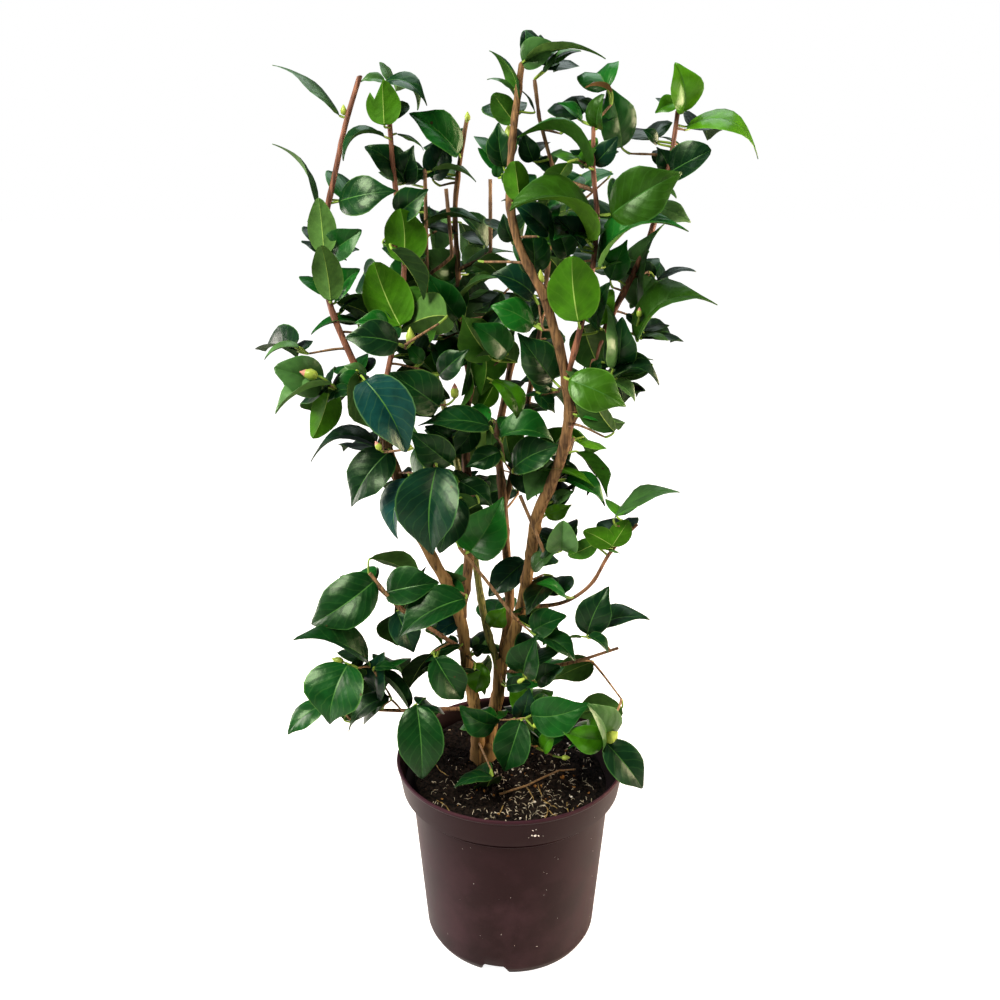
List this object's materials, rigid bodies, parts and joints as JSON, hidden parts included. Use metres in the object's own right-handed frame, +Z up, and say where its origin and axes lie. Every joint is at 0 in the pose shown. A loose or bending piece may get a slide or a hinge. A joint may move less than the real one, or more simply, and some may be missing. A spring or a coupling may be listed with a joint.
{
  "type": "potted camellia shrub",
  "caption": "A young camellia shrub with upright forked stems and glossy evergreen leaves, standing in a round plastic nursery pot of compost",
  "frame": {"origin": "centre of the pot's flat underside, on the surface that the pot stands on", "axes": "+Z up, the way the stems grow; +X to the right and +Y away, seen from the front"},
  "size_m": [0.3481, 0.2415, 0.712],
  "materials": {
    "pot_plastic": "satin",
    "compost": "matte",
    "bark": "matte",
    "foliage": "gloss"
  },
  "bodies": {
    "root": {"pot": "pot_plastic", "potting_soil": "compost", "trunk": "bark", "right_stem_low": "bark", "right_stem_high": "bark", "right_stem_top": "bark", "middle_right_shoot": "bark", "right_shoot": "bark", "back_stem": "bark", "back_right_shoot": "bark", "green_stem": "bark", "left_stem": "bark", "left_shoot": "bark", "second_left_shoot": "bark", "inner_left_stem": "bark", "inner_left_shoot": "bark", "low_left_bough": "bark", "lowest_left_bough": "bark", "low_right_bough": "bark", "lowest_right_bough": "bark", "leaves_left_top": "foliage", "leaves_left_upper": "foliage", "leaves_left_elbow": "foliage", "leaves_second_top": "foliage", "leaves_second_middle": "foliage", "leaves_second_low": "foliage", "leaves_left_far": "foliage", "leaves_left_glossy": "foliage", "leaves_left_pointed": "foliage", "leaves_left_stem": "foliage", "leaves_low_inner": "foliage", "leaves_low_left": "foliage", "leaves_lowest_left": "foliage", "leaves_inner_top": "foliage", "leaves_inner_middle": "foliage", "leaves_inner_low": "foliage", "leaves_heart": "foliage", "leaves_inner_front": "foliage", "leaves_crest": "foliage", "leaves_right_top": "foliage", "leaves_right_broad": "foliage", "leaves_centre": "foliage", "leaves_spotted": "foliage", "leaves_middle_top": "foliage", "leaves_middle_right": "foliage", "leaves_far_right_top": "foliage", "leaves_right_shoot": "foliage", "leaves_right_long": "foliage", "leaves_right_elbow": "foliage", "leaves_right_low": "foliage", "leaves_right_far": "foliage", "leaves_low_right": "foliage", "leaves_low_middle": "foliage", "leaves_rim_right": "foliage", "leaves_rim_left": "foliage", "leaves_foot": "foliage", "leaves_back_middle": "foliage", "leaves_back_right": "foliage", "leaves_back_left": "foliage", "leaves_back_low": "foliage"}
  },
  "joints": []
}
